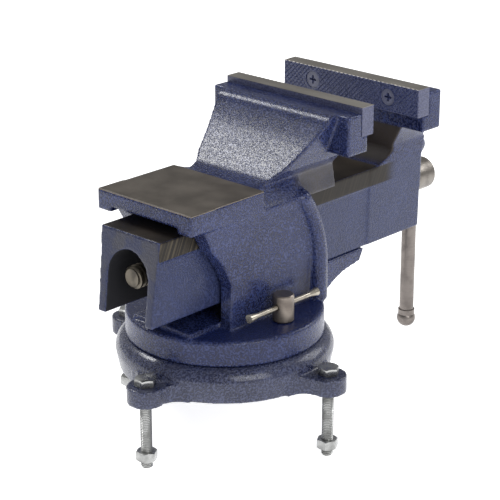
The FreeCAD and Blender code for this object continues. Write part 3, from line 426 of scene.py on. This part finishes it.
# %% The base's material
def base_finish():
    finish = Finish("base_dipped_navy")
    paint, height = hammered(finish, (0.004, 0.007, 0.034), (0.050, 0.060, 0.125))
    dust = finish.facing_z.rise(0.6, 0.95) * finish.noise(7 * MM, 4.0, seed=4.0).rise(0.42, 0.66)
    colour = finish.mix(dust * 0.30, paint, (0.060, 0.064, 0.095))
    # painted edge highlight with worn paint: sharp edges go lighter
    colour = finish.mix(edge_wear_and_highlight(finish) * 0.5, colour, (0.080, 0.085, 0.125))
    normal = finish.bump(height, DIMPLE_DEPTH * 1.25)
    return finish.shade(Base_Color=colour, Roughness=dust * 0.2 + 0.26, Metallic=0.0, Normal=normal,
                        Coat_Weight=0.3, Coat_Roughness=0.12)


print("made", base_finish.__name__)

# %% [markdown]
# ## Soft cast edges
# Iron poured in sand has no knife edges: every outside edge is rounded by a millimetre or two and
# every inside corner is filled a little. Bevelling hundreds of edges by hand is one way. Here the
# casting is rebuilt from small even cubes and then smoothed a few times, which rounds all edges alike
# and leaves broad faces where they were. A last pass thins the mesh where it is flat.

# %% Soften the three castings
def soften(node, name, cube, passes, kept):
    """A copy of a node with its edges rounded; kept is the share of faces that is left."""
    piece = bpy.data.objects.new(name, frame["nodes"][node].data.copy())
    bpy.context.collection.objects.link(piece)
    rebuild = piece.modifiers.new("rebuild", "REMESH")
    rebuild.mode, rebuild.voxel_size = "VOXEL", cube
    rounding = piece.modifiers.new("rounding", "SMOOTH")
    rounding.factor, rounding.iterations = 0.5, passes
    thinning = piece.modifiers.new("thinning", "DECIMATE")
    thinning.ratio = kept
    seen = piece.evaluated_get(bpy.context.evaluated_depsgraph_get())
    mesh = bpy.data.meshes.new_from_object(seen)
    piece.modifiers.clear()
    piece.data = mesh
    mesh.materials.clear()
    for face in mesh.polygons:
        face.use_smooth = True
    print(name, len(mesh.polygons), "faces")
    return piece


def settle(piece, body, node, material):
    """Paints a piece, lets it ride on its body and stand for its node."""
    piece.data.materials.clear()
    piece.data.materials.append(material)
    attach(piece, body)
    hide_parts(node)


CASTINGS = {
    # piece: (node, body, slot, finish, cube, passes)
    "swivel_casting": ("fixed_body", "swivel_body", "blue_paint", body_finish, 1.0 * MM, 4),
    "moving_jaw_casting": ("moving_jaw", "moving_jaw", "blue_paint", moving_jaw_finish, 1.0 * MM, 3),
    "base_casting": ("base_plate", "base", "blue_paint", base_finish, 1.0 * MM, 3),
}
for piece_name, (node, body, slot, make_finish, cube, passes) in CASTINGS.items():
    casting = soften(node, piece_name, cube, passes, 0.35)
    settle(casting, body, node, make_finish())

# %% [markdown]
# ## Jaw plates
# Each gripping face is cut with two sets of slanting grooves, so that it bites. The grooves are real
# dents in a fine grid, because they show at the plate's edge, where a bump would stay flat. A flat
# land is left round each screw, and a turned cutter sinks the screw holes.

# %% Cut the serrated plates
GROOVE_SPACING = 2.7 * MM
GROOVE_WIDTH = 0.9 * MM
GROOVE_DEPTH = 0.42 * MM
CROSS_DEPTH = 0.22 * MM              # the second set of grooves is shallower
GRID_STEP = 0.42 * MM
PLATE_CHAMFER = 0.5 * MM
SCREW_SPACING = 70.0 * MM
LAND_RADIUS = 7.4 * MM
# radius and depth in mm
SCREW_CUTTER = [(0.0, -1.0), (6.3, -1.0), (6.3, 0.8), (3.3, 4.1), (3.3, 13.6), (0.0, 13.6)]


def groove(along, width, depth):
    """Depth of V grooves that repeat along one direction."""
    off = np.abs((along / GROOVE_SPACING) % 1.0 - 0.5) * GROOVE_SPACING
    return depth * np.clip(1 - off / (width / 2), 0, 1)


def dent(x, z, half, low, high):
    """How far the gripping face lies below its crests."""
    middle = (low + high) / 2
    depth = np.maximum(groove((x + z) / math.sqrt(2), GROOVE_WIDTH, GROOVE_DEPTH),
                       groove((x - z) / math.sqrt(2), GROOVE_WIDTH, CROSS_DEPTH))
    from_screw = np.hypot(np.abs(x) - SCREW_SPACING / 2, z - middle)
    depth = depth * np.clip((from_screw - LAND_RADIUS) / (0.5 * MM), 0, 1)
    to_edge = np.minimum(np.minimum(half - np.abs(x), z - low), high - z)
    return depth + np.clip(PLATE_CHAMFER - to_edge, 0, None)


def turned(name, outline, centre, axis, steps=40):
    """A closed solid turned from (radius, height) points about an axis through centre."""
    side = axis.orthogonal().normalized()
    other = axis.cross(side)
    mesh = bmesh.new()
    rings = []
    for radius, height in outline:
        spoke = [side * math.cos(2 * math.pi * k / steps) + other * math.sin(2 * math.pi * k / steps)
                 for k in range(steps if radius else 1)]
        rings.append([mesh.verts.new(centre + axis * height + s * radius) for s in spoke])
    for lower, upper in zip(rings, rings[1:]):
        for k in range(steps):
            corners = [lower[k % len(lower)], lower[(k + 1) % len(lower)],
                       upper[(k + 1) % len(upper)], upper[k % len(upper)]]
            mesh.faces.new(list(dict.fromkeys(corners)))
    return finish_mesh(mesh, name)


def finish_mesh(mesh, name):
    """Turns a bmesh into an object with its faces pointing out."""
    bmesh.ops.recalc_face_normals(mesh, faces=mesh.faces)
    data = bpy.data.meshes.new(name)
    mesh.to_mesh(data)
    mesh.free()
    piece = bpy.data.objects.new(name, data)
    bpy.context.collection.objects.link(piece)
    return piece


def serrated_block(name, node, into):
    """A plate with its gripping face dented; into is +1 or -1 along Y, away from the other jaw."""
    low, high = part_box(node)
    face, back = (low.y, high.y) if into > 0 else (high.y, low.y)
    half = high.x
    columns = np.linspace(low.x, high.x, round((high.x - low.x) / GRID_STEP) + 1)
    rows = np.linspace(low.z, high.z, round((high.z - low.z) / GRID_STEP) + 1)
    mesh = bmesh.new()
    grid = [[mesh.verts.new((x, face + into * dent(x, z, half, low.z, high.z), z)) for x in columns]
            for z in rows]
    for lower, upper in zip(grid, grid[1:]):
        for k in range(len(columns) - 1):
            mesh.faces.new((lower[k], lower[k + 1], upper[k + 1], upper[k]))
    rim = grid[0] + [row[-1] for row in grid[1:]] + grid[-1][-2::-1] + [row[0] for row in grid[-2:0:-1]]
    wall = [mesh.verts.new((v.co.x, back, v.co.z)) for v in rim]
    for k in range(len(rim)):
        after = (k + 1) % len(rim)
        mesh.faces.new((rim[k], rim[after], wall[after], wall[k]))
    mesh.faces.new(wall)
    return finish_mesh(mesh, name)


def sink_screws(plate, node, into):
    """Cuts the two stepped screw holes."""
    low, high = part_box(node)
    face = low.y if into > 0 else high.y
    for side in (-1, 1):
        centre = Vector((side * SCREW_SPACING / 2, face, (low.z + high.z) / 2))
        outline = [(r * MM, h * MM) for r, h in SCREW_CUTTER]
        cutter = turned("cutter", outline, centre, Vector((0, into, 0)))
        cut = plate.modifiers.new("hole", "BOOLEAN")
        cut.object, cut.operation, cut.solver = cutter, "DIFFERENCE", "EXACT"
        seen = plate.evaluated_get(bpy.context.evaluated_depsgraph_get())
        mesh = bpy.data.meshes.new_from_object(seen)
        plate.modifiers.clear()
        plate.data = mesh
        bpy.data.objects.remove(cutter)
    print(plate.name, len(plate.data.polygons), "faces")


def plate_finish():
    """Hardened steel under a thin coat: the ground top edge is bare, the rest is blue."""
    finish = Finish("jaw_plate_thin_blue")
    speck = finish.noise(1.1 * MM, 2.0).rise(0.35, 0.65)
    coat = finish.mix(speck, (0.010, 0.015, 0.060), (0.060, 0.072, 0.160))
    top = (finish.z + (finish.noise(3 * MM, 3.0, seed=6.0) - 0.5) * (0.5 * MM))
    top = top.rise(PLATE_HIGH.z - 0.35 * MM, PLATE_HIGH.z - 0.15 * MM)
    steel = bare_iron(finish, (0.160, 0.146, 0.130), (0.290, 0.270, 0.240), 11 * MM, (0.3, 1, 1))
    # painted edge highlight with worn paint: sharp edges go lighter
    colour = finish.mix(edge_wear_and_highlight(finish) * 0.4, coat, (0.12, 0.12, 0.17))
    colour = finish.mix(top, colour, steel)
    normal = finish.bump(speck * (1 - top), 0.06 * MM)
    return finish.shade(Base_Color=colour, Roughness=top * 0.12 + 0.30, Metallic=top * 0.6, Normal=normal)


PLATE_FINISH = plate_finish()
for node, body, into in (("fixed_jaw_plate", "swivel_body", 1), ("moving_jaw_plate", "moving_jaw", -1)):
    plate = serrated_block(node.replace("jaw_plate", "serrated_plate"), node, into)
    sink_screws(plate, node, into)
    settle(plate, body, node, PLATE_FINISH)

# %% [markdown]
# ## Screw threads
# A thread is a helix, so each row of points follows it: a row keeps its place on the thread's outline
# and climbs one pitch per turn, which makes clean flanks with few points. A helix swept along a curve
# would do too, but its ends are hard to close. Here the ends run into a chamfer and are capped.

# %% Build threaded rods
# each point: share of the pitch, and 1 at the crest or 0 at the root
LEAD_OUTLINE = ((0.0, 1.0), (0.30, 1.0), (0.42, 0.0), (0.80, 0.0), (0.92, 1.0))
FASTENER_OUTLINE = ((0.0, 1.0), (0.18, 1.0), (0.55, 0.0), (0.68, 0.0))


def threaded_rod(name, start, axis, length, radius, depth, pitch, outline, chamfer, steps=28):
    """A right-hand thread that begins at start and runs along axis, closed at both ends."""
    side = axis.orthogonal().normalized()
    other = axis.cross(side)
    turns = math.ceil(length / pitch) + 2
    rows = turns * len(outline)
    mesh = bmesh.new()
    points = []
    for i in range(rows):
        share, crest = outline[i % len(outline)]
        row = []
        for k in range(steps):
            along = (i // len(outline) + share + k / steps - 1) * pitch
            along = min(max(along, 0.0), length)
            end = radius - chamfer + min(along, length - along)
            r = min(radius - depth * (1 - crest), end)
            angle = 2 * math.pi * k / steps
            spoke = side * math.cos(angle) + other * math.sin(angle)
            row.append(mesh.verts.new(start + axis * along + spoke * r))
        points.append(row)
    for i in range(rows - 1):
        for k in range(steps):
            j = i + len(outline) if k == steps - 1 else i
            if j + 1 < rows:
                after = (k + 1) % steps
                mesh.faces.new((points[i][k], points[i + 1][k], points[j + 1][after], points[j][after]))
    for along in (0.0, length):
        rim = [side * math.cos(2 * math.pi * k / steps) + other * math.sin(2 * math.pi * k / steps)
               for k in range(steps)]
        mesh.faces.new([mesh.verts.new(start + axis * along + spoke * (radius - chamfer)) for spoke in rim])
    bmesh.ops.remove_doubles(mesh, verts=mesh.verts, dist=0.002 * MM)
    return finish_mesh(mesh, name)


def trimmed_copy(node, name, place, away):
    """A copy of a node without what lies past a plane, on the side that away points to."""
    mesh = bmesh.new()
    mesh.from_mesh(frame["nodes"][node].data)
    bmesh.ops.remove_doubles(mesh, verts=mesh.verts, dist=0.002 * MM)
    everything = mesh.verts[:] + mesh.edges[:] + mesh.faces[:]
    bmesh.ops.bisect_plane(mesh, geom=everything, plane_co=place, plane_no=away, clear_outer=True)
    bmesh.ops.holes_fill(mesh, edges=[e for e in mesh.edges if e.is_boundary], sides=0)
    return finish_mesh(mesh, name)


THREAD_START_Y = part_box("split_pin")[1].y + 4 * MM
SCREW_END_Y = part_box("lead_screw")[1].y
BOLT_LOW, BOLT_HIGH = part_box("mounting_bolts")
LUG_TURN = math.radians(6.5)
LUG_CIRCLE = 87.0 * MM

screw_head = trimmed_copy("lead_screw", "lead_screw_head",
                          Vector((0, THREAD_START_Y, 0)), Vector((0, 1, 0)))
lead_thread = threaded_rod("lead_screw_thread", Vector((0, THREAD_START_Y, SCREW_AXIS_Z)), Vector((0, 1, 0)),
                           SCREW_END_Y - THREAD_START_Y, 8.0 * MM, 1.9 * MM, 4.0 * MM, LEAD_OUTLINE, 1.6 * MM)
bolt_heads = trimmed_copy("mounting_bolts", "mounting_bolt_heads", Vector((0, 0, -0.2 * MM)), Vector((0, 0, -1)))
bolt_threads = []
for k in range(4):
    angle = LUG_TURN + k * math.pi / 2
    foot = Vector((LUG_CIRCLE * math.cos(angle), LUG_CIRCLE * math.sin(angle), BOLT_LOW.z))
    bolt_threads.append(threaded_rod("mounting_thread_%d" % (k + 1), foot, Vector((0, 0, 1)), -BOLT_LOW.z,
                                     4.0 * MM, 0.68 * MM, 1.25 * MM, FASTENER_OUTLINE, 0.8 * MM, 24))
print("lead thread", len(lead_thread.data.polygons), "faces, one bolt", len(bolt_threads[0].data.polygons))

# %% [markdown]
# ## Steel finishes
# Handle, screw and lock are turned from bar and left to darken, so they show fine rings round their
# axis and brown stains. The fasteners are zinc plated, which is brighter and slightly mottled. One
# recipe with a few colours covers them all: stains, turning rings that a stretched noise draws
# across the axis, and a roughness that follows both.

# %% Turned and plated steel
def turned_steel(name, dark, light, roughness, across=(1, 1, 1), stain=0.5, ring_depth=0.012 * MM):
    """Steel whose marks lie across the direction where across is largest."""
    finish = Finish(name)
    rings = finish.noise(0.6 * MM, 3.0, across, seed=1.0)
    stains = finish.noise(9 * MM, 4.0, seed=8.0).rise(0.40, 0.68)
    tone = stains * stain + rings * (1 - stain)
    colour = finish.mix(tone, light, dark)
    normal = finish.bump(rings, ring_depth)
    return finish.shade(Base_Color=colour, Roughness=stains * 0.14 + roughness,
                        Metallic=0.9 - stains * 0.25, Normal=normal)


ROUND_Z = (0.06, 0.06, 1.0)          # rings round an upright bar
ROUND_Y = (0.06, 1.0, 0.06)
STEELS = {
    "handle_steel": turned_steel("handle_steel", (0.120, 0.104, 0.096), (0.235, 0.210, 0.195), 0.30, ROUND_Z),
    "screw_steel": turned_steel("screw_steel", (0.110, 0.096, 0.086), (0.260, 0.240, 0.215), 0.30, ROUND_Y),
    "thread_steel": turned_steel("thread_steel", (0.040, 0.034, 0.028), (0.170, 0.150, 0.120), 0.36, ROUND_Y),
    "lock_steel": turned_steel("lock_steel", (0.120, 0.098, 0.085), (0.280, 0.245, 0.215), 0.34, ROUND_Z),
    "lock_bar_steel": turned_steel("lock_bar_steel", (0.250, 0.215, 0.175), (0.560, 0.520, 0.440), 0.26, ROUND_Y),
    "zinc_plate": turned_steel("zinc_plate", (0.230, 0.232, 0.225), (0.520, 0.525, 0.520), 0.24, stain=0.65),
    "spring_steel": turned_steel("spring_steel", (0.060, 0.060, 0.066), (0.240, 0.240, 0.250), 0.28, ROUND_Y),
    "nut_iron": turned_steel("nut_iron", (0.050, 0.044, 0.038), (0.140, 0.128, 0.112), 0.46, stain=0.7),
}


def painted_screw():
    """Cross-point screws that were sprayed with the plates they hold."""
    finish = Finish("painted_screw")
    speck = finish.noise(0.8 * MM, 2.0).rise(0.35, 0.65)
    colour = finish.mix(speck, (0.014, 0.020, 0.080), (0.060, 0.075, 0.180))
    # painted edge highlight with worn paint: sharp edges go light grey
    colour = finish.mix(edge_wear_and_highlight(finish) * 0.5, colour, (0.22, 0.22, 0.26))
    return finish.shade(Base_Color=colour, Roughness=speck * 0.1 + 0.28, Metallic=0.0,
                        Normal=finish.bump(speck, 0.05 * MM))


STEELS["painted_screw"] = painted_screw()
print(len(STEELS), "steel finishes")

# %% [markdown]
# ## Who wears what
# The remaining nodes already have their real shape, so they stay and only change their material. The
# threaded pieces stand for the plain rods of the frame.

# %% Dress the hardware
WEARS = {
    "handle_steel": ("handle_bar", "handle_knob_upper", "handle_knob_lower"),
    "screw_steel": ("thrust_washer", "retaining_washers", "split_pin"),
    "lock_steel": ("lock_bolt_left", "lock_bolt_right", "lock_nut_left", "lock_nut_right"),
    "lock_bar_steel": ("lock_bar_left", "lock_bar_right"),
    "zinc_plate": ("mounting_nuts", "lead_nut_bolt"),
    "spring_steel": ("retaining_spring",),
    "nut_iron": ("lead_nut",),
    "painted_screw": ("fixed_jaw_screws", "moving_jaw_screws"),
}
for steel, nodes in WEARS.items():
    for node in nodes:
        for material_slot in frame["nodes"][node].material_slots:
            material_slot.material = STEELS[steel]


def smooth_round(piece, sharpest=35):
    """Shades round walls smooth and keeps edges sharper than this many degrees."""
    for face in piece.data.polygons:
        face.use_smooth = True
    piece.data.set_sharp_from_angle(angle=math.radians(sharpest))


settle(screw_head, "screw", "lead_screw", STEELS["screw_steel"])
settle(lead_thread, "screw", "lead_screw", STEELS["thread_steel"])
for piece in [bolt_heads] + bolt_threads:
    settle(piece, "base", "mounting_bolts", STEELS["zinc_plate"])
for piece in [screw_head, lead_thread, bolt_heads] + bolt_threads:
    smooth_round(piece)
print(sum(len(nodes) for nodes in WEARS.values()), "nodes keep their shape")

# %% [markdown]
# ## The floor
# A wide pale sheet under the bolts' tips. It is a little brighter than paint, because a light table
# glows; it is a stage and no part of the vise.

# %% Lay the floor
FLOOR_SIZE = 8.0
floor_mesh = bmesh.new()
bmesh.ops.create_grid(floor_mesh, x_segments=2, y_segments=2, size=FLOOR_SIZE / 2)
floor = finish_mesh(floor_mesh, "floor")
floor.location.z = cad_box[0].z
floor_finish = Finish("pale_floor")
floor.data.materials.append(floor_finish.shade(Base_Color=(0.86, 0.86, 0.86), Roughness=0.9,
                                               Emission_Color=(1.0, 1.0, 1.0), Emission_Strength=0.75))
print("floor at", round(floor.location.z / MM, 1), "mm")
